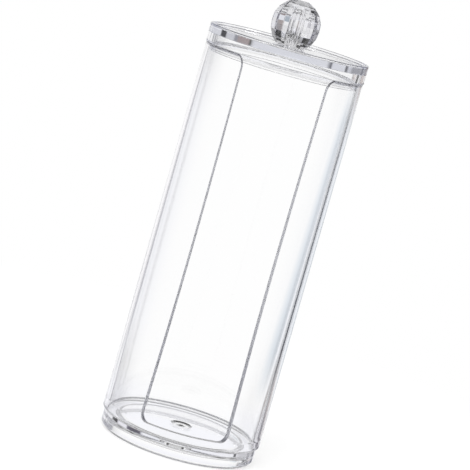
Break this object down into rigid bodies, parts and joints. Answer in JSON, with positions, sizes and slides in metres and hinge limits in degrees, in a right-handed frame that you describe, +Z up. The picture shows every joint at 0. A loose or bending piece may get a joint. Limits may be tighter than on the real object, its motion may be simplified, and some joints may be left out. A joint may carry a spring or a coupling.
{
  "type": "cotton pad storage box",
  "caption": "Tall clear round jar with an open front slot from sill to rim, a plug-in lid and a faceted ball knob, for storing and handing out round cotton pads.",
  "frame": {"origin": "middle of the foot ring, on the surface that the box stands on", "axes": "+Z up along the jar's axis, -Y out of the front slot, +X to the right seen from the front"},
  "size_m": [0.07, 0.07, 0.1967],
  "materials": {
    "clear_plastic": "clear polished moulding",
    "crystal_plastic": "clear faceted moulding"
  },
  "bodies": {
    "jar": {"jar": "clear_plastic"},
    "lid": {"lid": "clear_plastic", "knob": "crystal_plastic"}
  },
  "joints": [
    {"name": "lid_lift", "type": "slide", "parent": "jar", "child": "lid", "axis": [0, 0, 1], "range_m": [0, 0.08]}
  ]
}
